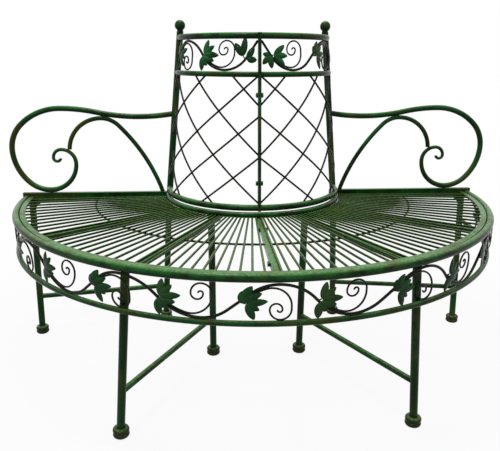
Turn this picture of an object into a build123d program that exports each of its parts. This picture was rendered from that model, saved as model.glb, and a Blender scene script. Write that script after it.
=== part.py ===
from build123d import *
import os
from math import asin, atan, cos, degrees, hypot, radians, sin, sqrt, tan

# Half-round wrought iron tree bench, made as two quarter frames bolted together at the middle.
# Millimetres and degrees, +Z up, the front towards -Y, the floor at Z = 0.
# Seat angles run round the ring axis: 0 at the front, -90 at the left end, +90 at the right end.

# Seat: rim tube, flat band inside it, inner ring, straight back edge
RIM_RADIUS = 640.0
RIM_DIAMETER = 18.0
RIM_HEIGHT = 402.0
BAND_WIDTH = 13.0
BAND_THICKNESS = 5.5
RING_RADIUS = 241.0
RING_DIAMETER = 15.0
EDGE_WIDTH = 12.0
EDGE_RISE = 16.0

# Seat: radial bars, slats and the rod under the slats
BAR_ANGLES = (0.0, 26.0, 54.5, 90.0)
BAR_WIDTH = 14.0
BAR_DEPTH = 12.0
BAR_DROP = 0.5
SLAT_DIAMETER = 5.0
SLATS_PER_SECTOR = 11
SEAM_SLAT_ANGLE = 0.8
SUPPORT_RADIUS = 440.0
SUPPORT_DIAMETER = 5.0

# Apron under the rim, with its vine frieze: crests and troughs by turns, from the front
APRON_DIAMETER = 12.0
APRON_DROP = 90.5
APRON_WAVE_TURNS = (0.0, 13.1, 28.0, 40.3, 55.5, 72.5)

# Back: a half cone that narrows upwards
BACK_LEAN = 5.58
LOW_RADIUS = 236.0
LOW_DIAMETER = 16.0
LOW_CLEARANCE = 1.0
TRELLIS_HEIGHT = 320.5
MID_DIAMETER = 13.0
FRIEZE_HEIGHT = 88.0
TOP_DIAMETER = 15.0
POST_DIAMETER = 18.0
POST_RISE = 9.0
NECK_DIAMETER = 16.0
NECK_LENGTH = 3.0
BALL_DIAMETER = 28.0
BACK_WAVE_TURNS = (24.0, 60.0)

# Seam bars and bolts in the middle of the back and under the seat
SEAM_THICKNESS = 4.0
SEAM_DEPTH = 14.0
BOLT_DIAMETER = 6.0
BOLT_HOLE = 6.4
HEAD_WIDTH = 10.0
HEAD_THICKNESS = 5.0
BOLT_SHARES = (0.19, 0.85)
SEAT_BOLT_SHARES = (0.2, 0.82)

# Trellis rods: where each rod would meet the seam, as shares of the trellis height above its lower ring,
# and how far the rods turn round the cone over the full height
ROD_DIAMETER = 4.8
ROD_SPAN = 30.0
OUTWARD_SEAM_SHARES = (0.39, 0.697, 0.997, 1.367, 1.73)
OUTWARD_TURN = 101.0
INWARD_SEAM_SHARES = (-0.713, -0.343, 0.027, 0.397, 0.767)
INWARD_TURN = 83.4

# Vine stems, scrolls and leaves of both friezes
STEM_DIAMETER = 6.0
FALLING_STEEPNESS = 1.85
RISING_STEEPNESS = 1.5
STEM_GAP = 0.5
APRON_STEM_LEAD = 1.0
SCROLL_DIAMETER = 3.6
APRON_SCROLL_SETBACK = 6.4
BACK_SCROLL_SETBACK = 7.0
SCROLL_HALF_TURNS = (20.5, 12.0, 5.0)
RISING_SWEEP_RADIUS = 44.0
APRON_HANGING_RADIUS = 45.0
APRON_HANGING_TURN = 100.0
BACK_HANGING_RADIUS = 40.0
BACK_HANGING_TURN = 84.0
SCROLL_SIDE = 24.5
LEAF_THICKNESS = 2.0
PLAIN_LEAF = (0.0,)
LOBED_LEAF = (-58.0, 0.0, 58.0)
# Each leaf: base beside the middle of the stem, direction of its tip, length, width and lobes
FALLING_LEAVES = ((3.0, 1.0, 27.0, 37.0, 17.0, LOBED_LEAF), (1.0, -3.0, -47.0, 27.0, 18.0, PLAIN_LEAF))
RISING_LEAVES = ((3.0, 3.0, 20.0, 33.0, 18.0, PLAIN_LEAF), (5.0, -2.0, -38.0, 40.0, 17.0, LOBED_LEAF))

# Arms: the radii of the bends, and how far each turns, to the left where it is positive
ARM_DIAMETER = 15.0
ARM_TIP_DIAMETER = 8.0
ARM_HEADING = -10.0
ARM_RADII = (566.0, 465.0, 155.0, 96.0, 125.5, 82.0)
ARM_TURNS = (22.0, -12.0, -45.0, -45.0, -45.0, -45.0)
ARM_TAIL_RADII = (76.0, 38.0, 23.0, 10.0)
ARM_TAIL_TURNS = (-90.0, -90.0, -90.0, -170.0)
STAY_DIAMETER = 12.0
STAY_SETBACK = 20.0
STAY_HEADING = 72.0
STAY_RADII = (471.0, 66.5, 91.0)
STAY_TURNS = (-27.0, -45.0, -86.0)

# Legs, feet and stretchers: the seat angle of each foot, and how far it splays outwards from its leg's top
LEG_DIAMETER = 18.0
FRONT_FOOT_ANGLE = 31.0
INNER_FOOT_ANGLE = 31.4
INNER_LEG_SPLAY = -12.0
BACK_FOOT_ANGLE = 86.5
POST_FOOT_ANGLE = 99.0
POST_LEG_OFFSET = 4.0
POST_LEG_SPLAY = 28.0
FOOT_DIAMETER = 36.0
FOOT_WAIST_DIAMETER = 31.0
FOOT_SOLE_DIAMETER = 28.0
FOOT_HEIGHT = 22.0
STRETCHER_DIAMETER = 14.0
STRETCHER_HEIGHT = 112.0
GUSSET_WIDTH = 22.0
GUSSET_DROP = 26.0
GUSSET_THICKNESS = 4.0

# Welded pieces stand this far apart, so that no two solids share space
FIT = 0.2

# Heights that follow from how the seat and the back are stacked
BAR_TOP = RIM_HEIGHT - BAR_DROP
SLAT_HEIGHT = BAR_TOP + SLAT_DIAMETER / 2
RING_HEIGHT = BAR_TOP + RING_DIAMETER / 2 + FIT
EDGE_TOP = BAR_TOP + EDGE_RISE
EDGE_BOTTOM = RIM_HEIGHT - RIM_DIAMETER / 2
EDGE_DEPTH = EDGE_TOP - EDGE_BOTTOM
LOW_HEIGHT = EDGE_TOP + LOW_CLEARANCE + LOW_DIAMETER / 2
MID_HEIGHT = LOW_HEIGHT + TRELLIS_HEIGHT
TOP_HEIGHT = MID_HEIGHT + FRIEZE_HEIGHT
POST_TOP = TOP_HEIGHT + TOP_DIAMETER / 2 + POST_RISE
BOLT_HEIGHTS = tuple(LOW_HEIGHT + TRELLIS_HEIGHT * share for share in BOLT_SHARES)
APRON_RADIUS = RIM_RADIUS + (RIM_DIAMETER - APRON_DIAMETER) / 2
APRON_HEIGHT = RIM_HEIGHT - APRON_DROP
APRON_VINE_RADIUS = APRON_RADIUS + APRON_STEM_LEAD
BAND_OUTER = RIM_RADIUS - RIM_DIAMETER / 2 - FIT
BAND_INNER = BAND_OUTER - BAND_WIDTH
BAR_START = RING_RADIUS - RING_DIAMETER / 2
SLAT_LIE = RING_HEIGHT - SLAT_HEIGHT - SLAT_DIAMETER / 2
SLAT_START = RING_RADIUS + sqrt((RING_DIAMETER / 2) ** 2 - SLAT_LIE**2) + FIT
SLAT_LENGTH = BAND_INNER - FIT - SLAT_START
SEAT_BOLT_RADII = tuple(SLAT_START + SLAT_LENGTH * share for share in SEAT_BOLT_SHARES)

# The origin is in the middle of the footprint, between the front of the rim and the inner back feet
POST_LEG_RADIUS = LOW_RADIUS + POST_LEG_OFFSET
BACK_REACH = (POST_LEG_RADIUS + POST_LEG_SPLAY) * sin(radians(POST_FOOT_ANGLE - 90)) + FOOT_DIAMETER / 2
AXIS_Y = (RIM_RADIUS + RIM_DIAMETER / 2 - BACK_REACH) / 2
RING_AXIS = Axis((0, AXIS_Y, 0), (0, 0, 1))
UP = Vector(0, 0, 1)
SIDES = {"left": -1, "right": 1}


def outward(angle):
    """The level direction away from the ring axis at a seat angle."""
    return Vector(sin(radians(angle)), -cos(radians(angle)), 0)


def along(angle):
    """The level direction round the ring, towards larger seat angles."""
    return Vector(cos(radians(angle)), sin(radians(angle)), 0)


def on_ring(radius, angle, height):
    """A point given by its distance from the ring axis, its seat angle and its height."""
    return Vector(0, AXIS_Y, height) + outward(angle) * radius


def section_plane(angle):
    """The upright plane through the ring axis: X outwards, Y up."""
    return Plane(origin=(0, AXIS_Y, 0), x_dir=outward(angle), z_dir=outward(angle).cross(UP))


def panel_plane(radius, angle, height, lean=0.0):
    """The plane that touches the ring or cone at a point: X round the ring, Y up, Z outwards."""
    normal = outward(angle) * cos(radians(lean)) + UP * sin(radians(lean))
    return Plane(origin=on_ring(radius, angle, height), x_dir=along(angle), z_dir=normal)


def cone_radius(height):
    """Radius of the back's cone at a height."""
    return LOW_RADIUS - (height - LOW_HEIGHT) * tan(radians(BACK_LEAN))


def half_width_angle(half_width, radius):
    """The seat angle that a half width takes up at a radius."""
    return degrees(asin(half_width / radius))


def touching_height(rail_radius, rail_height, rail_diameter, radius, diameter, above):
    """Height of a rod at a radius that rests on a rail or hangs under it."""
    reach = (rail_diameter + diameter) / 2 + FIT
    rise = sqrt(reach**2 - (radius - rail_radius) ** 2)
    return rail_height + rise if above else rail_height - rise


def write(piece, name):
    """Label a finished piece and write it as one node."""
    piece.part.label = name
    export_step(piece.part, f"parts/{name}.step")


def ring_arc(radius, height, diameter, start, end):
    """Revolve a round bar about the ring axis between two seat angles, in the open part."""
    with BuildSketch(section_plane(start)) as section:
        with Locations((radius, height)):
            Circle(diameter / 2)
    revolve(section.sketch, axis=RING_AXIS, revolution_arc=end - start)


def bar_between(bottom, top, diameter, overrun=0.0):
    """A straight round bar from one point to another, in the open part, past both ends by an overrun."""
    run = top - bottom
    with BuildSketch(Plane(origin=bottom - run.normalized() * overrun, z_dir=run)) as section:
        Circle(diameter / 2)
    extrude(section.sketch, amount=run.length + 2 * overrun)


def leg_between(top, foot, diameter):
    """A straight round leg with level ends, in the open part."""
    bar_between(foot, top, diameter, overrun=diameter)
    split(bisect_by=Plane.XY.offset(top.Z), keep=Keep.BOTTOM)
    split(bisect_by=Plane.XY.offset(foot.Z), keep=Keep.TOP)


def bend_chain(start, heading, radii, turns):
    """Tangent arcs on the open line from a start point and heading, by their radii and turns."""
    for radius, turn in zip(radii, turns):
        tangent = (cos(radians(heading)), sin(radians(heading)))
        arc = JernArc(start=start, tangent=tangent, radius=radius, arc_size=turn)
        start = arc @ 1
        heading += turn


def bend_rise(heading, radii, turns):
    """How far a chain of bends climbs from its start to its end."""
    rise = 0.0
    for radius, turn in zip(radii, turns):
        leaving = heading + turn
        climb = radius * (cos(radians(heading)) - cos(radians(leaving)))
        rise += climb if turn > 0 else -climb
        heading = leaving
    return rise


def bent_bar(plane, start, heading, radii, turns, diameter):
    """A round bar bent in a plane, in the open part."""
    with BuildLine(plane) as path:
        bend_chain(start, heading, radii, turns)
    with BuildSketch(path.line ^ 0) as section:
        Circle(diameter / 2)
    sweep(section.sketch, path=path.line)


os.makedirs("parts", exist_ok=True)

# Seat frame: rim, band, inner ring and back edge of each half
for side, sign in SIDES.items():
    rim_stop = 90 - half_width_angle(EDGE_WIDTH / 2 + FIT, RIM_RADIUS)
    band_stop = 90 - half_width_angle(EDGE_WIDTH / 2 + FIT, BAND_INNER)
    ring_stop = 90 - half_width_angle(EDGE_WIDTH / 2 + FIT, RING_RADIUS)
    rim_ends = sorted((0, sign * rim_stop))
    band_ends = sorted((0, sign * band_stop))
    ring_ends = sorted((0, sign * ring_stop))

    with BuildPart() as seat_rim:
        ring_arc(RIM_RADIUS, RIM_HEIGHT, RIM_DIAMETER, *rim_ends)
    write(seat_rim, f"seat_rim_{side}")

    with BuildPart() as seat_band:
        with BuildSketch(section_plane(band_ends[0])):
            with Locations((BAND_INNER + BAND_WIDTH / 2, BAR_TOP + BAND_THICKNESS / 2)):
                Rectangle(BAND_WIDTH, BAND_THICKNESS)
        revolve(axis=RING_AXIS, revolution_arc=band_ends[1] - band_ends[0])
    write(seat_band, f"seat_band_{side}")

    with BuildPart() as seat_inner_ring:
        ring_arc(RING_RADIUS, RING_HEIGHT, RING_DIAMETER, *ring_ends)
    write(seat_inner_ring, f"seat_inner_ring_{side}")

    with BuildPart() as back_edge:
        edge_start = LOW_RADIUS - POST_DIAMETER / 2
        edge_length = RIM_RADIUS + RIM_DIAMETER / 2 - edge_start
        with Locations((sign * (edge_start + edge_length / 2), AXIS_Y, EDGE_TOP - EDGE_DEPTH / 2)):
            Box(edge_length, EDGE_WIDTH, EDGE_DEPTH)
    write(back_edge, f"back_edge_{side}")

# Seat filling: radial bars with a half bar on each side of the seam, slats, support rod
for side, sign in SIDES.items():
    bar_length = BAND_OUTER - BAR_START
    with BuildPart() as radial_bars:
        bar_planes = [
            Plane(
                origin=on_ring(BAR_START, sign * angle, BAR_TOP - BAR_DEPTH / 2),
                x_dir=along(sign * angle),
                z_dir=outward(sign * angle),
            )
            for angle in BAR_ANGLES[1:-1]
        ]
        with BuildSketch(*bar_planes):
            Rectangle(BAR_WIDTH, BAR_DEPTH)
        extrude(amount=bar_length)
        seam_plane = Plane(
            origin=on_ring(BAR_START, 0, BAR_TOP - BAR_DEPTH / 2) + Vector(sign * BAR_WIDTH / 4, 0, 0),
            x_dir=along(0),
            z_dir=outward(0),
        )
        with BuildSketch(seam_plane):
            Rectangle(BAR_WIDTH / 2, BAR_DEPTH)
        extrude(amount=bar_length)
        bolt_points = [(0, AXIS_Y - radius, BAR_TOP - BAR_DEPTH / 2) for radius in SEAT_BOLT_RADII]
        with Locations(*bolt_points):
            Cylinder(BOLT_HOLE / 2, 2 * BAR_WIDTH, rotation=(0, 90, 0), mode=Mode.SUBTRACT)
    write(radial_bars, f"radial_bars_{side}")

    slat_angles = list(BAR_ANGLES[1:-1])
    for first, last in zip(BAR_ANGLES, BAR_ANGLES[1:]):
        step = (last - first) / (SLATS_PER_SECTOR + 1)
        slat_angles += [first + step * (count + 1) for count in range(SLATS_PER_SECTOR)]
    if side == "right":
        slat_angles.append(SEAM_SLAT_ANGLE)
    with BuildPart() as seat_slats:
        slat_planes = [
            Plane(
                origin=on_ring(SLAT_START, sign * angle, SLAT_HEIGHT),
                x_dir=along(sign * angle),
                z_dir=outward(sign * angle),
            )
            for angle in sorted(slat_angles)
        ]
        with BuildSketch(*slat_planes):
            Circle(SLAT_DIAMETER / 2)
        extrude(amount=SLAT_LENGTH)
    write(seat_slats, f"seat_slats_{side}")

    with BuildPart() as slat_support:
        bar_room = half_width_angle(BAR_WIDTH / 2 + FIT, SUPPORT_RADIUS)
        support_height = BAR_TOP - SUPPORT_DIAMETER / 2
        for first, last in zip(BAR_ANGLES, BAR_ANGLES[1:]):
            span = sorted((sign * (first + bar_room), sign * (last - bar_room)))
            ring_arc(SUPPORT_RADIUS, support_height, SUPPORT_DIAMETER, *span)
    write(slat_support, f"slat_support_{side}")

# Back frame: posts, finials, three rails and a seam bar for each half
posts = {}
trellis_frames = {}
for side, sign in SIDES.items():
    with BuildPart() as back_post:
        post_foot = on_ring(cone_radius(EDGE_TOP), 90 * sign, EDGE_TOP)
        post_head = on_ring(cone_radius(POST_TOP), 90 * sign, POST_TOP)
        leg_between(post_head, post_foot, POST_DIAMETER)
    posts[side] = back_post
    trellis_frames[side] = [back_post]
    write(back_post, f"back_post_{side}")

    rails = {
        "back_low_ring": (LOW_HEIGHT, LOW_DIAMETER),
        "back_mid_rail": (MID_HEIGHT, MID_DIAMETER),
        "back_top_rail": (TOP_HEIGHT, TOP_DIAMETER),
    }
    for name, (height, diameter) in rails.items():
        radius = cone_radius(height)
        seam_room = half_width_angle(SEAM_THICKNESS + FIT, radius)
        with BuildPart() as rail:
            ring_arc(radius, height, diameter, *sorted((sign * seam_room, sign * 90)))
            add(back_post.part, mode=Mode.SUBTRACT)
        trellis_frames[side].append(rail)
        write(rail, f"{name}_{side}")

    with BuildPart() as seam_bar:
        bottom = LOW_HEIGHT - LOW_DIAMETER / 2
        top = TOP_HEIGHT + TOP_DIAMETER / 2
        with BuildSketch(section_plane(0)):
            Polygon(
                (cone_radius(bottom) - SEAM_DEPTH / 2, bottom),
                (cone_radius(bottom) + SEAM_DEPTH / 2, bottom),
                (cone_radius(top) + SEAM_DEPTH / 2, top),
                (cone_radius(top) - SEAM_DEPTH / 2, top),
                align=None,
            )
        extrude(amount=-sign * SEAM_THICKNESS)
        bolt_points = [(0, AXIS_Y - cone_radius(height), height) for height in BOLT_HEIGHTS]
        with Locations(*bolt_points):
            Cylinder(BOLT_HOLE / 2, 4 * SEAM_THICKNESS, rotation=(0, 90, 0), mode=Mode.SUBTRACT)
    trellis_frames[side].append(seam_bar)
    write(seam_bar, f"seam_bar_{side}")

with BuildPart() as finials:
    ball_rise = sqrt((BALL_DIAMETER / 2) ** 2 - (NECK_DIAMETER / 2) ** 2)
    neck_bottom = [on_ring(cone_radius(POST_TOP), 90 * sign, POST_TOP) for sign in SIDES.values()]
    with Locations(*neck_bottom):
        Cylinder(NECK_DIAMETER / 2, NECK_LENGTH, align=(Align.CENTER, Align.CENTER, Align.MIN))
    with Locations(*[point + UP * (NECK_LENGTH + ball_rise) for point in neck_bottom]):
        Sphere(BALL_DIAMETER / 2)
write(finials, "finials")

# Bolts and nuts that hold the two halves together, head on the left
seam_joints = [(SEAM_THICKNESS, AXIS_Y - cone_radius(height), height) for height in BOLT_HEIGHTS]
seam_joints += [(BAR_WIDTH / 2, AXIS_Y - radius, BAR_TOP - BAR_DEPTH / 2) for radius in SEAT_BOLT_RADII]
with BuildPart() as seam_bolts:
    for half_grip, y, z in seam_joints:
        with BuildSketch(Plane(origin=(-half_grip - HEAD_THICKNESS, y, z), z_dir=(1, 0, 0))):
            RegularPolygon(HEAD_WIDTH / 2, 6, major_radius=False)
        extrude(amount=HEAD_THICKNESS)
        with BuildSketch(Plane(origin=(-half_grip, y, z), z_dir=(1, 0, 0))):
            Circle(BOLT_DIAMETER / 2)
        extrude(amount=2 * half_grip + HEAD_THICKNESS)
write(seam_bolts, "seam_bolts")

with BuildPart() as seam_nuts:
    for half_grip, y, z in seam_joints:
        with BuildSketch(Plane(origin=(half_grip, y, z), z_dir=(1, 0, 0))):
            RegularPolygon(HEAD_WIDTH / 2, 6, major_radius=False)
            Circle(BOLT_DIAMETER / 2, mode=Mode.SUBTRACT)
        extrude(amount=HEAD_THICKNESS)
write(seam_nuts, "seam_nuts")

# Trellis: two families of rods that wind round the cone, one family in front of the other
rod_offset = (ROD_DIAMETER + FIT) / 2


def rod_ends(seam_height, full_turn):
    """The (angle, height) pairs at a rod's ends, in the middles of the pieces that it is welded to."""
    turn = full_turn / TRELLIS_HEIGHT
    seam_middle = half_width_angle(SEAM_THICKNESS / 2, cone_radius((LOW_HEIGHT + MID_HEIGHT) / 2))
    heights = sorted((seam_height - seam_middle / turn, seam_height - 90 / turn))
    low = max(heights[0], LOW_HEIGHT)
    high = min(heights[1], MID_HEIGHT)
    return ((seam_height - low) * turn, low), ((seam_height - high) * turn, high)


def trellis_rod(start, end, offset):
    """A rod on the cone between two (angle, height) pairs, as short arcs set in or out from it."""
    count = max(1, round(abs(end[0] - start[0]) / ROD_SPAN))
    points = []
    for step in range(2 * count + 1):
        share = step / (2 * count)
        angle = start[0] + (end[0] - start[0]) * share
        height = start[1] + (end[1] - start[1]) * share
        points.append(on_ring(cone_radius(height) + offset, angle, height))
    with BuildLine() as rod:
        for step in range(0, 2 * count, 2):
            ThreePointArc(*points[step : step + 3])
    with BuildSketch(rod.line ^ 0) as section:
        Circle(ROD_DIAMETER / 2)
    sweep(section.sketch, path=rod.line)


families = (
    (OUTWARD_SEAM_SHARES, OUTWARD_TURN, rod_offset),
    (INWARD_SEAM_SHARES, -INWARD_TURN, -rod_offset),
)
for side, sign in SIDES.items():
    with BuildPart() as trellis:
        for seam_shares, turn, offset in families:
            for share in seam_shares:
                ends = rod_ends(LOW_HEIGHT + TRELLIS_HEIGHT * share, turn)
                (angle0, height0), (angle1, height1) = ends
                trellis_rod((sign * angle0, height0), (sign * angle1, height1), offset)
        for piece in trellis_frames[side]:
            add(piece.part, mode=Mode.SUBTRACT)
    write(trellis, f"trellis_{side}")

# Arms: a long tube from the post, over and round, and the stay that carries it
arm_height = EDGE_TOP + ARM_DIAMETER / 2 + FIT - bend_rise(ARM_HEADING, ARM_RADII, ARM_TURNS)
tail_heading = ARM_HEADING + sum(ARM_TURNS)
stay_start = (cone_radius(EDGE_TOP) + STAY_SETBACK, EDGE_TOP)
for side, sign in SIDES.items():
    arm_plane = section_plane(90 * sign)
    with BuildPart() as arm:
        with BuildLine(arm_plane) as arm_path:
            bend_chain((cone_radius(arm_height), arm_height), ARM_HEADING, ARM_RADII, ARM_TURNS)
        with BuildSketch(arm_path.line ^ 0) as arm_section:
            Circle(ARM_DIAMETER / 2)
        sweep(arm_section.sketch, path=arm_path.line)
        with BuildLine(arm_plane) as tail_path:
            bend_chain(arm_path.line @ 1, tail_heading, ARM_TAIL_RADII, ARM_TAIL_TURNS)
        with BuildSketch(tail_path.line ^ 0) as tail_start:
            Circle(ARM_DIAMETER / 2)
        with BuildSketch(tail_path.line ^ 1) as tail_end:
            Circle(ARM_TIP_DIAMETER / 2)
        sweep([tail_start.sketch, tail_end.sketch], path=tail_path.line, multisection=True)
        add(posts[side].part, mode=Mode.SUBTRACT)
    write(arm, f"arm_{side}")

    with BuildPart() as arm_stay:
        bent_bar(arm_plane, stay_start, STAY_HEADING, STAY_RADII, STAY_TURNS, STAY_DIAMETER)
        split(bisect_by=Plane.XY.offset(EDGE_TOP), keep=Keep.TOP)
        add(arm.part, mode=Mode.SUBTRACT)
    write(arm_stay, f"arm_stay_{side}")

# Vine friezes of the apron and the back
apron_trough = touching_height(
    APRON_RADIUS, APRON_HEIGHT, APRON_DIAMETER, APRON_VINE_RADIUS, STEM_DIAMETER, above=True
)
apron_crest = touching_height(
    RIM_RADIUS, RIM_HEIGHT, RIM_DIAMETER, APRON_VINE_RADIUS, STEM_DIAMETER, above=False
)
mid_reach = (MID_DIAMETER + STEM_DIAMETER) / 2 + FIT
top_reach = (TOP_DIAMETER + STEM_DIAMETER) / 2 + FIT
back_trough = MID_HEIGHT + mid_reach * cos(radians(BACK_LEAN))
back_crest = TOP_HEIGHT - top_reach * cos(radians(BACK_LEAN))


def apron_radius(height):
    """The apron frieze stands upright, so its radius is the same at every height."""
    return APRON_VINE_RADIUS


def half_stem(radius_at, turn_angle, turn_height, middle_angle, middle_height, steepness):
    """Half of an S-shaped stem, level at its crest or trough and straight at its middle."""
    level = on_ring(radius_at(turn_height), turn_angle, turn_height)
    middle = on_ring(radius_at(middle_height), middle_angle, middle_height)
    x_dir = along((turn_angle + middle_angle) / 2)
    if middle_angle < turn_angle:
        x_dir = x_dir * -1
    run = (middle - level).dot(x_dir)
    climb = middle - level - x_dir * run
    slope = steepness * atan(climb.length / run)
    steep = climb.length / tan(slope)
    radius = (run - STEM_GAP - steep) / (sin(slope) - (1 - cos(slope)) / tan(slope))
    with BuildLine(Plane(origin=level, x_dir=x_dir, z_dir=x_dir.cross(climb))) as path:
        bend = JernArc(start=(STEM_GAP, 0), tangent=(1, 0), radius=radius, arc_size=degrees(slope))
        Line(bend @ 1, middle - (bend % 1) * STEM_GAP)
    with BuildSketch(path.line ^ 0) as section:
        Circle(STEM_DIAMETER / 2)
    sweep(section.sketch, path=path.line)


def leaf_cluster(plane, leaves):
    """A plate cut to the outline of some leaves: lens-shaped lobes that grow from a base point."""
    with BuildSketch(plane) as outline:
        for base_x, base_y, axis, length, width, lobes in leaves:
            for turn in lobes:
                share = cos(radians(turn) / 2) ** 2
                ahead = Vector(cos(radians(axis + turn)), sin(radians(axis + turn)), 0)
                across = Vector(-ahead.Y, ahead.X, 0) * (width * share / 2)
                base = Vector(base_x, base_y, 0)
                tip = base + ahead * length * share
                belly = base + ahead * length * share * 0.5
                with BuildLine():
                    ThreePointArc(base, belly + across, tip)
                    ThreePointArc(tip, belly - across, base)
                make_face()
    extrude(outline.sketch, amount=LEAF_THICKNESS)


def rising_scroll(radius, angle, height, lean):
    """A scroll that sets off level on the rail and coils up to the left."""
    radii = (RISING_SWEEP_RADIUS, *SCROLL_HALF_TURNS)
    turns = (90.0, 180.0, 180.0, 180.0)
    start = (SCROLL_SIDE - RISING_SWEEP_RADIUS, 0.0)
    bent_bar(panel_plane(radius, angle, height, lean), start, 0.0, radii, turns, SCROLL_DIAMETER)


def hanging_scroll(radius, angle, height, lean, sweep_radius, turn):
    """A scroll that leaves the stem near a crest, hangs down to the rail and coils up inside."""
    radii = (sweep_radius, *SCROLL_HALF_TURNS)
    turns = (-turn, -180.0, -180.0, -180.0)
    start = (
        SCROLL_SIDE - sweep_radius * (1 - cos(radians(turn))),
        SCROLL_HALF_TURNS[0] + sweep_radius * sin(radians(turn)),
    )
    plane = panel_plane(radius, angle, height, lean)
    bent_bar(plane, start, turn - 90, radii, turns, SCROLL_DIAMETER)


def is_falling(count, sign):
    """Whether a stem of a wave falls from left to right: waves start at a crest on the seam."""
    return (count % 2 == 0) == (sign > 0)


def vine(radius_at, wave, sign, trough, crest):
    """Stems from crest to trough and up again along one half of a frieze, in the open part."""
    middle_height = (trough + crest) / 2
    for count, (first, last) in enumerate(zip(wave, wave[1:])):
        heights = (crest, trough) if count % 2 == 0 else (trough, crest)
        steepness = FALLING_STEEPNESS if is_falling(count, sign) else RISING_STEEPNESS
        middle = (sign * (first + last) / 2, middle_height, steepness)
        half_stem(radius_at, sign * first, heights[0], *middle)
        half_stem(radius_at, sign * last, heights[1], *middle)


def leaves(radius_at, wave, sign, trough, crest, lean):
    """A leaf plate in front of the middle of every stem, in the open part."""
    height = (trough + crest) / 2
    radius = radius_at(height) + STEM_DIAMETER / 2 + FIT
    for count, (first, last) in enumerate(zip(wave, wave[1:])):
        plane = panel_plane(radius, sign * (first + last) / 2, height, lean)
        leaf_cluster(plane, FALLING_LEAVES if is_falling(count, sign) else RISING_LEAVES)


def scroll_rest(rail_radius, rail_height, rail_diameter, radius, offset):
    """Height of a scroll whose lowest point, that far along its plane, rests on the rail."""
    low_radius = hypot(radius, offset)
    return touching_height(rail_radius, rail_height, rail_diameter, low_radius, SCROLL_DIAMETER, above=True)


rising_offset = RISING_SWEEP_RADIUS - SCROLL_SIDE
hanging_offset = SCROLL_SIDE - SCROLL_HALF_TURNS[0]
apron_scroll_radius = APRON_VINE_RADIUS - APRON_SCROLL_SETBACK
back_scroll_radius = cone_radius(MID_HEIGHT) - BACK_SCROLL_SETBACK
apron_rest = (APRON_RADIUS, APRON_HEIGHT, APRON_DIAMETER, apron_scroll_radius)
back_rest = (cone_radius(MID_HEIGHT), MID_HEIGHT, MID_DIAMETER, back_scroll_radius)
apron_wave = (*APRON_WAVE_TURNS, 90 - half_width_angle(EDGE_WIDTH / 2 + FIT, APRON_VINE_RADIUS))
back_wave = (
    half_width_angle(SEAM_THICKNESS + FIT, cone_radius(back_crest)),
    *BACK_WAVE_TURNS,
    90 - half_width_angle(POST_DIAMETER / 2 + FIT, cone_radius(back_trough)),
)
for side, sign in SIDES.items():
    with BuildPart() as apron_rail:
        ring_arc(APRON_RADIUS, APRON_HEIGHT, APRON_DIAMETER, *sorted((0, 90 * sign)))
    write(apron_rail, f"apron_rail_{side}")

    with BuildPart() as apron_vine:
        vine(apron_radius, apron_wave, sign, apron_trough, apron_crest)
    write(apron_vine, f"apron_vine_{side}")

    with BuildPart() as apron_scrolls:
        crests = APRON_WAVE_TURNS[0::2] if side == "right" else APRON_WAVE_TURNS[2::2]
        for angle in APRON_WAVE_TURNS[1::2]:
            rising_scroll(apron_scroll_radius, sign * angle, scroll_rest(*apron_rest, rising_offset), 0.0)
        hang = (scroll_rest(*apron_rest, hanging_offset), 0.0, APRON_HANGING_RADIUS, APRON_HANGING_TURN)
        for angle in crests:
            hanging_scroll(apron_scroll_radius, sign * angle, *hang)
    write(apron_scrolls, f"apron_scrolls_{side}")

    with BuildPart() as apron_leaves:
        leaves(apron_radius, apron_wave, sign, apron_trough, apron_crest, 0.0)
    write(apron_leaves, f"apron_leaves_{side}")

    with BuildPart() as back_vine:
        vine(cone_radius, back_wave, sign, back_trough, back_crest)
    write(back_vine, f"back_vine_{side}")

    with BuildPart() as back_scrolls:
        trough_angle, crest_angle = (sign * angle for angle in BACK_WAVE_TURNS)
        rest_height = scroll_rest(*back_rest, rising_offset)
        rising_scroll(back_scroll_radius, trough_angle, rest_height, BACK_LEAN)
        hang = (scroll_rest(*back_rest, hanging_offset), BACK_LEAN, BACK_HANGING_RADIUS, BACK_HANGING_TURN)
        hanging_scroll(back_scroll_radius, crest_angle, *hang)
    write(back_scrolls, f"back_scrolls_{side}")

    with BuildPart() as back_leaves:
        leaves(cone_radius, back_wave, sign, back_trough, back_crest, BACK_LEAN)
    write(back_leaves, f"back_leaves_{side}")

# Legs, stretchers and feet
outer_leg_radius = apron_scroll_radius - (SCROLL_DIAMETER + LEG_DIAMETER) / 2 - FIT
ring_bottom = RING_HEIGHT - RING_DIAMETER / 2 - FIT
beside_bar = (BAR_WIDTH + LEG_DIAMETER) / 2 + FIT
front_leg_angle = BAR_ANGLES[1] + half_width_angle(beside_bar, outer_leg_radius)
inner_leg_angle = BAR_ANGLES[1] + half_width_angle(beside_bar, RING_RADIUS)
leg_rows = {
    "front_leg": (outer_leg_radius, 0.0, (front_leg_angle, FRONT_FOOT_ANGLE), EDGE_BOTTOM - FIT),
    "inner_leg": (RING_RADIUS, INNER_LEG_SPLAY, (inner_leg_angle, INNER_FOOT_ANGLE), ring_bottom),
    "back_leg": (outer_leg_radius, 0.0, (90.0, BACK_FOOT_ANGLE), EDGE_BOTTOM - FIT),
    "post_leg": (POST_LEG_RADIUS, POST_LEG_SPLAY, (90.0, POST_FOOT_ANGLE), EDGE_BOTTOM),
}
foot_points = []
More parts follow.
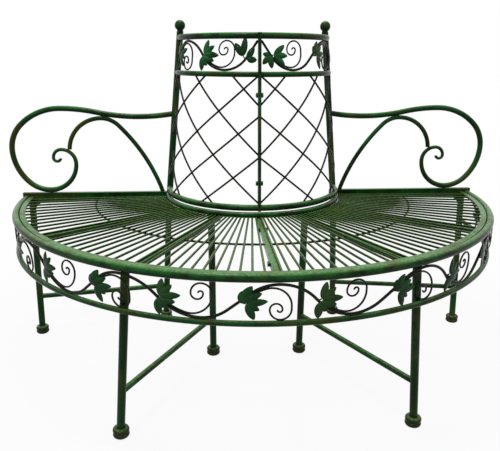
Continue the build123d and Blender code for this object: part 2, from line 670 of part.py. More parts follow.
for side, sign in SIDES.items():
    legs = {}
    waists = {}
    for name, (radius, splay, (top_angle, foot_angle), top_height) in leg_rows.items():
        top_point = on_ring(radius, sign * top_angle, top_height)
        foot_point = on_ring(radius + splay, sign * foot_angle, FOOT_HEIGHT)
        share = (STRETCHER_HEIGHT - FOOT_HEIGHT) / (top_height - FOOT_HEIGHT)
        with BuildPart() as leg:
            leg_between(top_point, foot_point, LEG_DIAMETER)
        legs[name] = leg
        waists[name] = foot_point + (top_point - foot_point) * share
        foot_points.append(Vector(foot_point.X, foot_point.Y, 0))
        write(leg, f"{name}_{side}")

    with BuildPart() as stretchers:
        bar_between(waists["front_leg"], waists["inner_leg"], STRETCHER_DIAMETER)
        bar_between(waists["back_leg"], waists["post_leg"], STRETCHER_DIAMETER)
        for leg in legs.values():
            add(leg.part, mode=Mode.SUBTRACT)
    write(stretchers, f"stretchers_{side}")

    with BuildPart() as gusset:
        with BuildSketch(section_plane(90 * sign)):
            Polygon(
                (outer_leg_radius, EDGE_BOTTOM),
                (outer_leg_radius - LEG_DIAMETER / 2 - GUSSET_WIDTH, EDGE_BOTTOM),
                (outer_leg_radius, EDGE_BOTTOM - GUSSET_DROP),
                align=None,
            )
        extrude(amount=GUSSET_THICKNESS / 2, both=True)
        add(legs["back_leg"].part, mode=Mode.SUBTRACT)
    write(gusset, f"gusset_{side}")

# A bun foot: two bulges with a waist between them
with BuildPart() as foot:
    with BuildSketch(Plane.XZ):
        with BuildLine():
            sole = (FOOT_SOLE_DIAMETER / 2, 0)
            waist = (FOOT_WAIST_DIAMETER / 2, FOOT_HEIGHT / 2)
            crown = (FOOT_SOLE_DIAMETER / 2, FOOT_HEIGHT)
            Line((0, 0), sole)
            ThreePointArc(sole, (FOOT_DIAMETER / 2, FOOT_HEIGHT / 4), waist)
            ThreePointArc(waist, (FOOT_DIAMETER / 2, FOOT_HEIGHT * 3 / 4), crown)
            Polyline(crown, (0, FOOT_HEIGHT), (0, 0))
        make_face()
    revolve(axis=Axis.Z)

with BuildPart() as feet:
    with Locations(*foot_points):
        add(foot.part)
write(feet, "feet")
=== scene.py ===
"""Half-round iron tree bench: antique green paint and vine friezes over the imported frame."""
from math import radians

import bpy
import numpy as np
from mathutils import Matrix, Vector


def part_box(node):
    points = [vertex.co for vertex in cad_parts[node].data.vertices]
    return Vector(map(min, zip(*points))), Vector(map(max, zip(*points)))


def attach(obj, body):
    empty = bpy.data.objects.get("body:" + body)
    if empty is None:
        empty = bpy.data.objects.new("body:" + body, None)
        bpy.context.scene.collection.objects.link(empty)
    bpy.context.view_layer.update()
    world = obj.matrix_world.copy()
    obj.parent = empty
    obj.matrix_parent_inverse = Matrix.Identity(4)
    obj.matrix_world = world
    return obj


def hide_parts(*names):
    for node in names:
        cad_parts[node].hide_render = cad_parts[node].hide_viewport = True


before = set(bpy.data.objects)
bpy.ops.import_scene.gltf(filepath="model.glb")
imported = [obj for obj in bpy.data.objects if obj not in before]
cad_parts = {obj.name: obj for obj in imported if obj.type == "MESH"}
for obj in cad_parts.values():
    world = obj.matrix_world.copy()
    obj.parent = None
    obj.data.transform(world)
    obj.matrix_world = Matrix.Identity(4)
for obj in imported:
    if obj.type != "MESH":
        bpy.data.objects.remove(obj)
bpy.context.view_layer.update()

SIDES = {"left": -1, "right": 1}
UPSIDE_DOWN = np.array([1.0, -1.0])

# Iron stock of the friezes, in metres, and the share of its radius that a scroll keeps at its eye
STEM_RADIUS = 0.003
SCROLL_RADIUS = 0.0021
SCROLL_TAPER = 0.9
STALK_RADIUS = 0.0014
LEAF_THICKNESS = 0.0012

# Bends of the friezes: steepness is the slope of a stem's middle over its mean slope
FALLING_STEEPNESS = 1.85
RISING_STEEPNESS = 1.5
SEAM_SLOPE = 55.0
COIL_RADII = (0.0205, 0.012, 0.005)
COIL_SIDE = 0.0245
COIL_ROOM = 0.0015
RISING_LEAVE = 14.0
HANGING_LEAVE = 17.0
TIGHTER_SHARE = 0.95
APRON_TURNS = (0.0, 13.1, 28.0, 40.3, 55.5, 72.5)
BACK_TURNS = (24.0, 60.0)

# Leaves: the stalk's turn from the stem's heading and its length, then the lobes' turns, lengths and widths
FALLING_LEAVES = (
    ((75.0, 0.008), ((122.0, 0.034, 0.0155), (84.0, 0.034, 0.0145), (46.0, 0.042, 0.0155))),
    ((-20.0, 0.004), ((-44.0, 0.033, 0.0175), (-4.0, 0.025, 0.0155), (36.0, 0.036, 0.0165))),
)
RISING_LEAVES = (
    ((10.0, 0.003), ((42.0, 0.021, 0.0120), (15.0, 0.038, 0.0185), (-16.0, 0.044, 0.0165))),
    ((-45.0, 0.014), ((-32.0, 0.040, 0.0150), (-68.0, 0.028, 0.0135), (-104.0, 0.036, 0.0160))),
)
SEAM_FALLING_LEAVES = (
    ((60.0, 0.006), ((94.0, 0.036, 0.0145), (52.0, 0.036, 0.0150), (14.0, 0.038, 0.0150))),
    ((-115.0, 0.004), ((-140.0, 0.017, 0.0120), (-75.0, 0.026, 0.0140), (-24.0, 0.030, 0.0150))),
)
SEAM_RISING_LEAVES = (
    ((70.0, 0.009), ((70.0, 0.036, 0.0165), (28.0, 0.044, 0.0160))),
    ((-60.0, 0.004), ((4.0, 0.034, 0.0150), (-58.0, 0.024, 0.0155))),
)
# How far along a stem its leaves grow, how far in front of it, and how far each lobe lies over the one before
LEAF_SHARE = 0.5
SEAM_FALLING_SHARE = 0.36
SEAM_RISING_SHARE = 0.54
LEAF_LIFT = 0.0008
LOBE_STEP = 0.0005

# A stem's steepness, its leaves and their share, by whether it falls to the right and is beside an open seam
STEM_KINDS = {
    (True, False): (FALLING_STEEPNESS, FALLING_LEAVES, LEAF_SHARE),
    (False, False): (RISING_STEEPNESS, RISING_LEAVES, LEAF_SHARE),
    (True, True): (None, SEAM_FALLING_LEAVES, SEAM_FALLING_SHARE),
    (False, True): (None, SEAM_RISING_LEAVES, SEAM_RISING_SHARE),
}

# Form of a lobe: the powers of its outline and their product at the fullest place, its crown and the curl of
# its tip as shares of its width, and its rib's height and share of half the width
LOBE_SWELL = 0.6
LOBE_NARROWING = 0.7
LOBE_FULLEST = 0.408
LOBE_CROWN = 0.10
LOBE_CURL = 0.14
RIB_HEIGHT = 0.0009
RIB_SHARE = 0.16

# Fineness: facets round a bar or lobe, rings along it, points on a bend, and the share of a bar that is tip
STEM_FACETS = 10
THIN_FACETS = 8
LOBE_FACETS = 14
STEM_RINGS = 44
STALK_RINGS = 12
LOBE_RINGS = 15
TIP_RINGS = 5
LEAST_SCROLL_RINGS = 40
SCROLL_RINGS_PER_POINT = 0.9
STEM_TIP_SHARE = 0.05
SCROLL_TIP_SHARE = 0.03
BEND_POINTS = 24
RUN_POINTS = 4
LEAST_ARC_POINTS = 4
ARC_SPACING = 0.002


def middle(node, axis):
    """Half-way point of a node's box along one axis."""
    low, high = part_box(node)
    return (low[axis] + high[axis]) / 2


AXIS_Y = middle("back_post_left", 1)


def quarter_ring(node):
    """Radius and height of a quarter ring of round bar, whose front end is its foremost point."""
    low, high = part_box(node)
    half = (high[2] - low[2]) / 2
    return AXIS_Y - low[1] - half, middle(node, 2)


class Panel:
    """A frieze wrapped on a cone: (along, up, out) from a seat angle become a place in the room.

    The angle is the start angle plus the arc length over the radius at the cone's foot, the height is
    taken as it is, and the radius grows with the height by the cone's lean.
    """

    def __init__(self, foot, lean):
        self.radius, self.height = foot
        self.lean = lean

    def place(self, angle, flat):
        """Places in the room of flat points, from the seat angle where they start."""
        along, up, out = flat[..., 0], flat[..., 1], flat[..., 2]
        turn = np.radians(angle) + along / self.radius
        reach = self.radius + self.lean * (up - self.height) + out
        return np.stack([reach * np.sin(turn), AXIS_Y - reach * np.cos(turn), up], axis=-1)


def unit(vectors):
    """Vectors brought to length one."""
    return vectors / np.linalg.norm(vectors, axis=-1, keepdims=True)


def travelled(path):
    """Length along a path at each of its points: the sum of the straight runs before it."""
    steps = np.linalg.norm(np.diff(path, axis=0), axis=1)
    return np.concatenate([[0.0], np.cumsum(steps)])


def evenly(path, shares):
    """A path read again at shares of its length, by straight runs between its points."""
    length = travelled(path)
    wanted = np.asarray(shares) * length[-1]
    return np.stack([np.interp(wanted, length, path[:, axis]) for axis in range(path.shape[1])], axis=-1)


def end_dense(count, share):
    """Shares from 0 to 1 that crowd towards both ends, where a bar's tip is rounded."""
    ends = share * np.linspace(0.0, 1.0, TIP_RINGS + 1)[:-1] ** 2
    return np.concatenate([ends, np.linspace(share, 1.0 - share, count), 1.0 - ends[::-1]])


def rounded_radii(path, radius, taper):
    """Radius along a bar with half-ball ends: the circle's height within one radius of either end, times a
    thinning that runs evenly from one to the taper."""
    length = travelled(path)
    near = np.minimum(length, length[-1] - length)
    inside = np.clip(near / radius, 0.0, 1.0)
    thinning = 1.0 + (taper - 1.0) * length / length[-1]
    return radius * np.sqrt(1.0 - (1.0 - inside) ** 2) * thinning


def rod(flat_path, radius, facets, taper=1.0):
    """Rings of a round bar on a panel: a circle carried along the path, across it and out of the panel."""
    heading = unit(np.gradient(flat_path, axis=0))
    out = np.broadcast_to(np.array([0.0, 0.0, 1.0]), heading.shape)
    across = unit(np.cross(out, heading))
    lift = np.cross(heading, across)
    turn = np.linspace(0.0, 2 * np.pi, facets, endpoint=False)[None, :, None]
    girth = rounded_radii(flat_path, radius, taper)[:, None, None]
    circle = np.cos(turn) * across[:, None, :] + np.sin(turn) * lift[:, None, :]
    return flat_path[:, None, :] + girth * circle


def bends(start, heading, radii, turns):
    """Flat path of tangent arcs: each arc's points stand round its centre, left of the heading for a turn
    to the left. A turn of nothing is a straight run as long as its radius."""
    points = [np.array([start])]
    place = np.array(start, dtype=float)
    angle = radians(heading)
    for radius, turn in zip(radii, turns):
        if turn == 0.0:
            ahead = np.array([np.cos(angle), np.sin(angle)])
            run = np.linspace(0.0, radius, RUN_POINTS + 1)[1:, None] * ahead
            points.append(place + run)
            place = points[-1][-1]
            continue
        sign = np.sign(turn)
        centre = place + sign * radius * np.array([-np.sin(angle), np.cos(angle)])
        count = max(LEAST_ARC_POINTS, int(abs(radians(turn)) * radius / ARC_SPACING))
        swing = angle + np.linspace(0.0, radians(turn), count + 1)[1:]
        arc = centre + sign * radius * np.stack([np.sin(swing), -np.cos(swing)], axis=-1)
        points.append(arc)
        place = arc[-1]
        angle += radians(turn)
    return np.concatenate(points)


def stem_form(run, climb, steepness):
    """Slope of a stem's middle and radius of its bends: the mean slope times the steepness, and the arc that
    is level at the rail and reaches that slope. With no steepness it runs straight up from one bend."""
    if steepness is None:
        slope = radians(SEAM_SLOPE)
        reach = np.array([[np.sin(slope), np.cos(slope)], [1 - np.cos(slope), np.sin(slope)]])
        return slope, np.linalg.solve(reach, np.array([run, climb]))[0]
    slope = np.arctan2(climb, run) * steepness
    steep = climb / 2 / np.tan(slope)
    return slope, (run / 2 - steep) / (np.sin(slope) - (1 - np.cos(slope)) / np.tan(slope))


def rising_stem(run, climb, steepness):
    """Flat path from a trough at (0, 0) up to (run, climb): an arc, a straight middle, and the same arc
    turned about, which a stem that runs straight up leaves out."""
    slope, radius = stem_form(run, climb, steepness)
    swing = np.linspace(0.0, slope, BEND_POINTS)
    bend = np.stack([radius * np.sin(swing), radius * (1 - np.cos(swing))], axis=-1)
    first = np.concatenate([[[-STEM_RADIUS, 0.0]], bend])
    top = np.array([[run, climb]])
    last = top if steepness is None else top - first[::-1]
    return np.concatenate([first, last])


def scroll_path(form, rise, leave):
    """Flat path of a scroll over a trough at (0, 0): along the falling stem's bend, on its inner side, away
    from it where its slope is the leaving angle, up on a tighter bend, and round into its coil."""
    slope, radius = form
    off_stem = STEM_RADIUS + SCROLL_RADIUS
    inner = radius - off_stem
    parting = radians(leave)
    to_side = (COIL_SIDE + inner * np.sin(parting)) / (1 + np.sin(parting))
    to_level = (rise - COIL_RADII[0] - off_stem - inner * (1 - np.cos(parting))) / np.cos(parting)
    tight = min(to_side, to_level, TIGHTER_SHARE * inner)
    level = off_stem + inner * (1 - np.cos(parting)) + tight * np.cos(parting)
    start = (-inner * np.sin(slope), radius - inner * np.cos(slope))
    radii = (inner, tight, rise - COIL_RADII[0] - level, *COIL_RADII)
    turns = (np.degrees(slope) - leave, 90.0 + leave, 0.0, *(180.0,) * len(COIL_RADII))
    return bends(start, -np.degrees(slope), radii, turns)


def lobe(base, heading, length, width, out):
    """A leaf lobe as a closed shell: a thin lens across the rib, carried from the base to the tip.

    Half its width is the share of the length to one power times the rest of it to another, so it is fullest
    near its middle; the lens is crowned along the rib and curls back at the tip. The second result is each
    point's share of the way from the rib to the edge.
    """
    share = (1 - np.cos(np.linspace(0.0, np.pi, LOBE_RINGS))) / 2
    turn = np.linspace(0.0, 2 * np.pi, LOBE_FACETS, endpoint=False)
    half = width / 2 * share ** LOBE_SWELL * (1 - share) ** LOBE_NARROWING / LOBE_FULLEST
    side = np.cos(turn)[None, :]
    front = np.sin(turn)[None, :]
    ahead = np.array([np.cos(radians(heading)), np.sin(radians(heading))])
    left = np.array([-ahead[1], ahead[0]])
    flat = (
        np.asarray(base)
        + (share * length)[:, None, None] * ahead
        + (half[:, None] * side)[..., None] * left
    )
    fullness = (half / (width / 2))[:, None]
    crown = width * (LOBE_CROWN * (1 - side ** 2) * fullness - LOBE_CURL * (share ** 2)[:, None])
    rib = RIB_HEIGHT * np.exp(-(side / RIB_SHARE) ** 2) * np.clip(front, 0.0, 1.0) * fullness
    depth = out + crown + LEAF_THICKNESS / 2 * front * np.sqrt(fullness) + rib
    edge = np.abs(side) * np.ones_like(fullness)
    return np.concatenate([flat, depth[..., None]], axis=-1), edge


class Shells:
    """Closed shells gathered into one mesh: grids of rings with a point at either end."""

    def __init__(self):
        self.places, self.faces, self.marks = [], [], []
        self.count = 0

    def add(self, rings, mark=None):
        """Rings (n, m, 3) become quads round and along, with fans of triangles at both poles."""
        rows, sides = rings.shape[:2]
        poles = np.stack([rings[0].mean(axis=0), rings[-1].mean(axis=0)])
        inner = rings[1:-1].reshape(-1, 3)
        level = np.zeros((rows, sides)) if mark is None else mark
        rows -= 2
        index = np.arange(rows * sides).reshape(rows, sides)
        onward = np.roll(index, -1, axis=1)
        quads = np.stack([index[:-1], onward[:-1], onward[1:], index[1:]], axis=-1).reshape(-1, 4)
        first, last = rows * sides, rows * sides + 1
        start = np.stack([np.full(sides, first), onward[0], index[0]], axis=-1)
        end = np.stack([np.full(sides, last), index[-1], onward[-1]], axis=-1)
        for faces in (quads, start, end):
            self.faces += (faces + self.count).tolist()
        self.places.append(np.concatenate([inner, poles]))
        self.marks.append(np.concatenate([level[1:-1].ravel(), [level[0].max(), level[-1].max()]]))
        self.count += len(inner) + 2

    def piece(self, name, material, slot, *nodes):
        """The gathered shells as one object that stands for some nodes of the frame."""
        mesh = bpy.data.meshes.new(name)
        mesh.from_pydata(np.concatenate(self.places).tolist(), [], self.faces)
        mark = mesh.attributes.new("leaf_edge", "FLOAT", "POINT")
        mark.data.foreach_set("value", np.concatenate(self.marks).astype(np.float32))
        mesh.polygons.foreach_set("use_smooth", np.ones(len(mesh.polygons), dtype=bool))
        mesh.materials.append(material)
        mesh.update()
        thing = bpy.data.objects.new(name, mesh)
        bpy.context.collection.objects.link(thing)
        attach(thing, "root")
        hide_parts(*nodes)


# Paint: its colours, among them the painted shade and the painted sheen on what faces up, how far its brush
# strokes are drawn out upwards, and its relief and shine

# The first colour is painted shade. The sage and moss colours are painted sheen on what faces up. Olive is
# the colour of worn patches, and also the painted sheen on the trellis and vines.
SHADE = (0.002, 0.005, 0.001)
OLIVE = (0.060, 0.052, 0.006)
SAGE_SHEEN = (0.175, 0.34, 0.125)
BARK = (0.026, 0.019, 0.005)
MOSS_SHEEN = (0.115, 0.235, 0.048)
BRUSH_STRETCH = (1.0, 1.0, 0.16)
RUB_ROUGHNESS = 0.15
GRAIN_RELIEF = 0.35
BRUSH_RELIEF = 0.65
RELIEF_DEPTH = 0.00012
RELIEF_STRENGTH = 0.6
SHINE = 0.09
TURNED_BLEND = 0.5

# Places of a colour mix node's sockets
MIX_SHARE = 0
MIX_FIRST = 6
MIX_SECOND = 7
MIX_RESULT = 2


class Shader:
    """The nodes of one shader tree, made and wired."""

    def __init__(self, tree):
        self.nodes = tree.nodes
        self.wire = tree.links.new

    def fill(self, node, inputs):
        """Feeds a node's inputs, each from another node's output or with a fixed number, place or colour."""
        for key, value in inputs.items():
            socket = node.inputs[key]
            if isinstance(value, bpy.types.NodeSocket):
                self.wire(value, socket)
            elif socket.type == "RGBA":
                socket.default_value = (*value, 1.0)
            else:
                socket.default_value = value

    def add(self, kind, inputs=None, **settings):
        """A new node with its settings and inputs."""
        node = self.nodes.new(kind)
        for key, value in settings.items():
            setattr(node, key, value)
        self.fill(node, inputs or {})
        return node

    def noise(self, place, scale, detail, roughness):
        """Cloudy noise at a place."""
        inputs = {"Vector": place, "Scale": scale, "Detail": detail, "Roughness": roughness}
        return self.add("ShaderNodeTexNoise", inputs).outputs["Fac"]

    def spread(self, value, low, high, to_low=0.0, to_high=1.0):
        """A smooth step from one value at a low input to another at a high one."""
        inputs = {"Value": value, "From Min": low, "From Max": high, "To Min": to_low, "To Max": to_high}
        return self.add("ShaderNodeMapRange", inputs, interpolation_type="SMOOTHSTEP").outputs["Result"]

    def sums(self, operation, first, second):
        """Two values put together by a sum of one kind."""
        return self.add("ShaderNodeMath", {0: first, 1: second}, operation=operation).outputs["Value"]

    def blend(self, share, first, second):
        """A share of a second colour over a first one."""
        inputs = {MIX_SHARE: share, MIX_FIRST: first, MIX_SECOND: second}
        return self.add("ShaderNodeMix", inputs, data_type="RGBA").outputs[MIX_RESULT]


def antique_paint():
    """Shader group: brushed antique green in streaks, with painted shade on what faces down, a painted sheen
    on what faces up, and worn olive patches.
    """
    group = bpy.data.node_groups.new("antique_paint", "ShaderNodeTree")
    for way, kind, names in (
        ("INPUT", "NodeSocketVector", ("Place", "Facing")),
        ("INPUT", "NodeSocketColor", ("Deep", "Green", "Painted sheen", "Rub")),
        ("INPUT", "NodeSocketFloat", ("Rub amount", "Painted sheen amount")),
        ("OUTPUT", "NodeSocketColor", ("Colour",)),
        ("OUTPUT", "NodeSocketFloat", ("Roughness", "Height", "Sides")),
    ):
        for name in names:
            group.interface.new_socket(name, in_out=way, socket_type=kind)
    shader = Shader(group)
    given = shader.add("NodeGroupInput").outputs
    drawn = shader.add("ShaderNodeVectorMath", {0: given["Place"], 1: BRUSH_STRETCH}, operation="MULTIPLY")
    streak_noise = shader.noise(drawn.outputs["Vector"], scale=26.0, detail=4.0, roughness=0.55)
    brush_noise = shader.noise(given["Place"], scale=140.0, detail=3.0, roughness=0.55)
    patch_noise = shader.noise(given["Place"], scale=9.0, detail=5.0, roughness=0.65)
    grain = shader.noise(given["Place"], scale=900.0, detail=2.0, roughness=0.5)
    streaks = shader.spread(streak_noise, low=0.28, high=0.70)
    brushed = shader.spread(brush_noise, low=0.35, high=0.7)
    patches = shader.spread(patch_noise, low=0.50, high=0.66)
    height = shader.add("ShaderNodeSeparateXYZ", {"Vector": given["Facing"]}).outputs["Z"]
    upward = shader.spread(height, low=0.48, high=0.95)
    # Painted shade: what faces down is drawn towards the deep colour
    lit = shader.spread(height, low=-0.45, high=0.40, to_low=0.08, to_high=1.0)

    green = shader.blend(shader.sums("MULTIPLY", streaks, lit), given["Deep"], given["Green"])
    # Painted sheen: what faces up takes the sheen colour, unevenly along the brush strokes
    sheen_brushing = shader.spread(brushed, low=0.0, high=1.0, to_low=0.55, to_high=1.0)
    painted_sheen = shader.sums("MULTIPLY", shader.sums("MULTIPLY", upward, given["Painted sheen amount"]), sheen_brushing)
    rub = shader.sums("MULTIPLY", patches, given["Rub amount"])
    satin = shader.spread(brushed, low=0.0, high=1.0, to_low=0.18, to_high=0.28)
    worn = shader.sums("MULTIPLY", rub, RUB_ROUGHNESS)
    fine = shader.sums("MULTIPLY", grain, GRAIN_RELIEF)
    coarse = shader.sums("MULTIPLY", brushed, BRUSH_RELIEF)
    results = {
        "Colour": shader.blend(rub, shader.blend(painted_sheen, green, given["Painted sheen"]), given["Rub"]),
        "Roughness": shader.sums("ADD", satin, worn),
        "Height": shader.sums("ADD", fine, coarse),
        "Sides": shader.sums("SUBTRACT", 1.0, upward),
    }
    shader.add("NodeGroupOutput", results)
    return group


PAINT = antique_paint()


def painted(name, deep, green, painted_sheen, rub, rub_amount, painted_sheen_amount, leaf=False):
    """A paint finish: the antique group's colour, with painted shade where a side turns away from the eye, on
    a satin skin. A leaf is also dark along its edge."""
    material = bpy.data.materials.new(name)
    material.use_nodes = True
    shader = Shader(material.node_tree)
    place = shader.add("ShaderNodeTexCoord").outputs
    colours = {
        "Place": place["Object"],
        "Facing": place["Normal"],
        "Deep": deep,
        "Green": green,
        "Painted sheen": painted_sheen,
        "Rub": rub,
        "Rub amount": rub_amount,
        "Painted sheen amount": painted_sheen_amount,
    }
    paint = shader.add("ShaderNodeGroup", colours, node_tree=PAINT).outputs
    # Painted shade: sides seen edge-on darken towards the shade colour, except what faces up
    turned = shader.add("ShaderNodeLayerWeight", {"Blend": TURNED_BLEND}).outputs["Facing"]
    shaded = shader.spread(turned, low=0.25, high=0.85, to_high=0.75)
    colour = shader.blend(shader.sums("MULTIPLY", shaded, paint["Sides"]), paint["Colour"], SHADE)
    if leaf:
        edge = shader.add("ShaderNodeAttribute", attribute_name="leaf_edge").outputs["Fac"]
        colour = shader.blend(shader.spread(edge, low=0.70, high=1.0, to_high=0.85), colour, deep)
    relief = {"Distance": RELIEF_DEPTH, "Strength": RELIEF_STRENGTH, "Height": paint["Height"]}
    skin = {
        "Base Color": colour,
        "Roughness": paint["Roughness"],
        "Specular IOR Level": SHINE,
        "Normal": shader.add("ShaderNodeBump", relief).outputs["Normal"],
    }
    shader.fill(shader.nodes["Principled BSDF"], skin)
    return material


# In each finish, the painted sheen colour and amount make what faces up look paler
frame_paint = painted(
    "frame_paint",
    deep=(0.002, 0.017, 0.001),
    green=(0.010, 0.108, 0.018),
    painted_sheen=SAGE_SHEEN,
    rub=OLIVE,
    rub_amount=0.60,
    painted_sheen_amount=0.74,
)
rod_paint = painted(
    "rod_paint",
    deep=(0.001, 0.005, 0.001),
    green=(0.006, 0.030, 0.003),
    painted_sheen=MOSS_SHEEN,
    rub=OLIVE,
    rub_amount=0.14,
    painted_sheen_amount=0.88,
)
trellis_paint = painted(
    "trellis_paint",
    deep=(0.002, 0.005, 0.001),
    green=(0.006, 0.015, 0.002),
    painted_sheen=OLIVE,
    rub=BARK,
    rub_amount=0.40,
    painted_sheen_amount=0.40,
)
vine_paint = painted(
    "vine_paint",
    deep=(0.004, 0.007, 0.001),
    green=(0.009, 0.021, 0.004),
    painted_sheen=OLIVE,
    rub=BARK,
    rub_amount=0.70,
    painted_sheen_amount=0.25,
)
leaf_paint = painted(
    "leaf_paint",
    deep=(0.004, 0.030, 0.004),
    green=(0.018, 0.135, 0.034),
    painted_sheen=SAGE_SHEEN,
    rub=OLIVE,
    rub_amount=0.40,
    painted_sheen_amount=0.15,
    leaf=True,
)
foot_paint = painted(
    "foot_paint",
    deep=(0.010, 0.016, 0.004),
    green=(0.036, 0.058, 0.012),
    painted_sheen=SAGE_SHEEN,
    rub=OLIVE,
    rub_amount=0.60,
    painted_sheen_amount=0.60,
)
bolt_paint = painted(
    "bolt_paint",
    deep=(0.004, 0.030, 0.004),
    green=(0.012, 0.090, 0.017),
    painted_sheen=SAGE_SHEEN,
    rub=OLIVE,
    rub_amount=0.40,
    painted_sheen_amount=0.50,
)
FINISH = {
    "seat_slats": rod_paint,
    "slat_support": rod_paint,
    "trellis": trellis_paint,
    "feet": foot_paint,
    "seam_bolts": bolt_paint,
    "seam_nuts": bolt_paint,
}

for node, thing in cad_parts.items():
    kind = node.removesuffix("_left").removesuffix("_right")
    thing.data.materials.clear()
    thing.data.materials.append(FINISH.get(kind, frame_paint))


# Friezes

def wave_heights(node):
    """Trough and crest of a frieze's stems, from the box of the node."""
    low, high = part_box(node)
    return low[2] + STEM_RADIUS, high[2] - STEM_RADIUS


def end_angle(node, radius):
    """Seat angle at which a bar's end meets the side of an upright or edge at the end of a half."""
    low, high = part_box(node)
    return 90 - np.degrees(np.arcsin((high[1] - low[1]) / 2 / radius))


def raised(path, height, out):
    """A flat path lifted to a height on its panel and set out from it."""
    lifted = path + np.array([0.0, height])
    return np.concatenate([lifted, np.full((len(path), 1), out)], axis=1)


def mirrored(path, run):
    """A rising stem's flat path turned into a falling one, still read from left to right."""
    return (np.array([run, 0.0]) - path * UPSIDE_DOWN)[::-1]


def leaf_cluster(leafage, stalks, panel, begin, joint, slope, leaves):
    """Lobed leaves in front of a stem, which grow on short stalks from one point of it."""
    out = STEM_RADIUS + LEAF_LIFT
    for (turn, length), lobes in leaves:
        way = radians(slope + turn)
        base = joint + length * np.array([np.cos(way), np.sin(way)])
        depth = np.linspace(0.0, out, STALK_RINGS)[:, None]
        flat = np.concatenate([np.linspace(joint, base, STALK_RINGS), depth], axis=1)
        stalks.add(panel.place(begin, rod(flat, STALK_RADIUS, THIN_FACETS)))
        for count, (lobe_turn, lobe_length, width) in enumerate(lobes):
            shell, edge = lobe(base, slope + lobe_turn, lobe_length, width, out + LOBE_STEP * count)
            leafage.add(panel.place(begin, shell), edge)


def coil(coils, panel, angle, path, height):
    """A scroll as a thin bar, thinning towards its eye."""
    count = max(LEAST_SCROLL_RINGS, int(len(path) * SCROLL_RINGS_PER_POINT))
    flat = raised(evenly(path, end_dense(count, SCROLL_TIP_SHARE)), height, 0.0)
    coils.add(panel.place(angle, rod(flat, SCROLL_RADIUS, THIN_FACETS, SCROLL_TAPER)))


def frieze(name, panel, wave, heights, side, seam_open):
    """Stems, scrolls and leaves of one half of a frieze: stems between a crest and a trough by turns, two
    leaves on every stem, and a scroll over every trough and under every crest. Unless the seam is open, the
    right half also has the scroll under the crest at the seam."""
    sign = SIDES[side]
    trough, crest = heights
    climb = crest - trough
    stems, coils, leafage = Shells(), Shells(), Shells()
    forms = []
    for count, (first, last) in enumerate(zip(wave, wave[1:])):
        begin, end = sorted((sign * first, sign * last))
        falling = (count % 2 == 0) == (sign > 0)
        steepness, leaves, share = STEM_KINDS[falling, seam_open and count == 0]
        run = radians(end - begin) * panel.radius
        forms.append(stem_form(run, climb, steepness))
        path = rising_stem(run, climb, steepness)
        path = evenly(mirrored(path, run) if falling else path, end_dense(STEM_RINGS, STEM_TIP_SHARE))
        stems.add(panel.place(begin, rod(raised(path, trough, 0.0), STEM_RADIUS, STEM_FACETS)))
        slope = np.degrees(forms[-1][0]) * (-1 if falling else 1)
        joint = evenly(path, [share])[0] + np.array([0.0, trough])
        leaf_cluster(leafage, stems, panel, begin, joint, slope, leaves)
    reach = climb + STEM_RADIUS - SCROLL_RADIUS
    for count, angle in enumerate(wave[1:-1], 1):
        form = forms[count - 1] if sign > 0 else forms[count]
        if count % 2:
            coil(coils, panel, sign * angle, scroll_path(form, reach - COIL_ROOM, RISING_LEAVE), trough)
        else:
            coil(coils, panel, sign * angle, scroll_path(form, reach, HANGING_LEAVE) * UPSIDE_DOWN, crest)
    if sign > 0 and not seam_open:
        form = stem_form(radians(wave[1]) * panel.radius, climb, RISING_STEEPNESS)
        coil(coils, panel, 0.0, scroll_path(form, reach, HANGING_LEAVE) * UPSIDE_DOWN, crest)
    stems.piece(f"{name}_stems_{side}", vine_paint, "vine", f"{name}_vine_{side}")
    coils.piece(f"{name}_coils_{side}", vine_paint, "vine", f"{name}_scrolls_{side}")
    leafage.piece(f"{name}_leafage_{side}", leaf_paint, "leaves", f"{name}_leaves_{side}")


APRON_RAIL = quarter_ring("apron_rail_left")
MID_RAIL = quarter_ring("back_mid_rail_left")
TOP_RAIL = quarter_ring("back_top_rail_left")
BACK_LEAN = (TOP_RAIL[0] - MID_RAIL[0]) / (TOP_RAIL[1] - MID_RAIL[1])
vine_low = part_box("apron_vine_left")[0]
apron = Panel((AXIS_Y - vine_low[1] - STEM_RADIUS, APRON_RAIL[1]), 0.0)
back = Panel(MID_RAIL, BACK_LEAN)
seam_angle = np.degrees(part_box("seam_bar_right")[1][0] / TOP_RAIL[0])
apron_wave = (*APRON_TURNS, end_angle("back_edge_left", apron.radius))
back_wave = (seam_angle, *BACK_TURNS, end_angle("back_post_left", back.radius))
for side in SIDES:
    frieze("apron", apron, apron_wave, wave_heights(f"apron_vine_{side}"), side, False)
    frieze("back", back, back_wave, wave_heights(f"back_vine_{side}"), side, True)


# Floor, light and camera, which stands in front of the ring's axis

FLOOR_REACH = 30.0
FLOOR_GREY = (0.62, 0.62, 0.62)
FLOOR_ROUGHNESS = 0.9
WHITE = (1.0, 1.0, 1.0)
LENS = 40.276
SENSOR_WIDTH = 36.0
LENS_SHIFT = (0.01002, 0.00797)
CAMERA_SIDE = -0.12513
CAMERA_DISTANCE = 1.58192
CAMERA_HEIGHT = 0.78501
CAMERA_TILT = 72.926
CAMERA_TURN = -3.804
CAMERA_ROLL = 0.206


def looked_at(shader):
    """One where the eye looks, straight, in a reflection or through a clear piece, and nothing elsewhere."""
    seen = shader.add("ShaderNodeLightPath").outputs
    mirror = shader.sums("MAXIMUM", seen["Is Camera Ray"], seen["Is Glossy Ray"])
    return shader.sums("MAXIMUM", mirror, seen["Is Transmission Ray"])


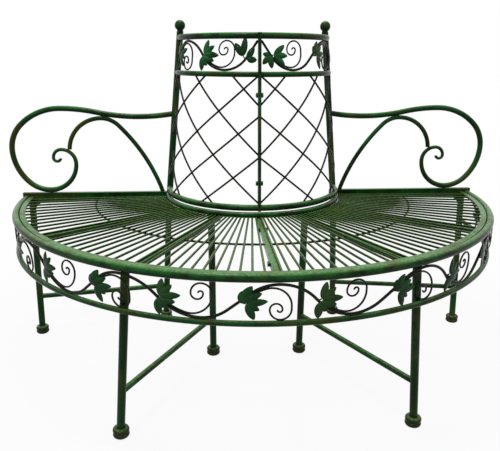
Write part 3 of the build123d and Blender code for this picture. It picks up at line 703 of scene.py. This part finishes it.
def floor():
    """Plain pale floor that keeps the object's shadow near it and turns to plain white further off."""
    corners = np.array([[-1, -1], [1, -1], [1, 1], [-1, 1]]) * FLOOR_REACH
    mesh = bpy.data.meshes.new("floor")
    mesh.from_pydata(np.column_stack([corners, np.zeros(4)]).tolist(), [], [(0, 1, 2, 3)])
    thing = bpy.data.objects.new("floor", mesh)
    bpy.context.collection.objects.link(thing)
    material = bpy.data.materials.new("pale_floor")
    material.use_nodes = True
    shader = Shader(material.node_tree)
    skin = shader.nodes["Principled BSDF"]
    shader.fill(skin, {"Base Color": FLOOR_GREY, "Roughness": FLOOR_ROUGHNESS, "Specular IOR Level": 0.0})
    place = shader.add("ShaderNodeTexCoord").outputs["Object"]
    away = shader.add("ShaderNodeVectorMath", {0: place}, operation="LENGTH").outputs["Value"]
    fade = shader.spread(away, low=0.6, high=1.8, to_low=0.92, to_high=1.0)
    share = shader.sums("MULTIPLY", looked_at(shader), fade)
    glow = shader.add("ShaderNodeEmission").outputs["Emission"]
    mix = shader.add("ShaderNodeMixShader", {0: share, 1: skin.outputs["BSDF"], 2: glow})
    shader.fill(shader.nodes["Material Output"], {"Surface": mix.outputs["Shader"]})
    mesh.materials.append(material)


def studio_world():
    """Plain white to the eye and in reflections; as a light, bright behind and above, and dim in front."""
    world = bpy.data.worlds.new("studio")
    bpy.context.scene.world = world
    world.use_nodes = True
    world.node_tree.nodes.clear()
    shader = Shader(world.node_tree)
    way = shader.add("ShaderNodeTexCoord").outputs["Generated"]
    split = shader.add("ShaderNodeSeparateXYZ", {"Vector": way}).outputs
    behind = shader.spread(split["Y"], low=-0.5, high=0.6, to_low=0.10, to_high=1.0)
    above = shader.spread(split["Z"], low=0.35, high=0.95, to_high=0.9)
    brighter = shader.sums("MAXIMUM", behind, above)
    brightest = shader.sums("MAXIMUM", brighter, looked_at(shader))
    light = shader.add("ShaderNodeBackground", {"Color": WHITE, "Strength": brightest})
    shader.add("ShaderNodeOutputWorld", {"Surface": light.outputs["Background"]})


def soft_light(name, place, aim, size, power):
    """A square soft light at a place, turned to shine at a point."""
    lamp = bpy.data.lights.new(name, "AREA")
    lamp.shape = "SQUARE"
    lamp.size = size
    lamp.energy = power
    thing = bpy.data.objects.new(name, lamp)
    thing.location = place
    way = thing.location.copy()
    way.x, way.y, way.z = (target - start for target, start in zip(aim, place))
    thing.rotation_euler = way.to_track_quat("-Z", "Y").to_euler()
    bpy.context.collection.objects.link(thing)


floor()
studio_world()
soft_light("overhead", place=(-0.35, -0.15, 2.9), aim=(0.0, 0.1, 0.4), size=0.45, power=30.0)
soft_light("front_left", place=(-0.9, -1.7, 2.4), aim=(0.0, 0.1, 0.5), size=0.25, power=9.0)

camera_data = bpy.data.cameras.new("camera")
camera_data.lens = LENS
camera_data.sensor_width = SENSOR_WIDTH
camera_data.sensor_fit = "HORIZONTAL"
camera_data.shift_x, camera_data.shift_y = LENS_SHIFT
camera = bpy.data.objects.new("camera", camera_data)
camera.location = (CAMERA_SIDE, AXIS_Y - CAMERA_DISTANCE, CAMERA_HEIGHT)
camera.rotation_euler = (radians(CAMERA_TILT), 0.0, radians(CAMERA_TURN))
camera.rotation_euler.rotate_axis("Z", radians(CAMERA_ROLL))
bpy.context.collection.objects.link(camera)
bpy.context.scene.camera = camera
bpy.context.scene.view_settings.view_transform = "Standard"
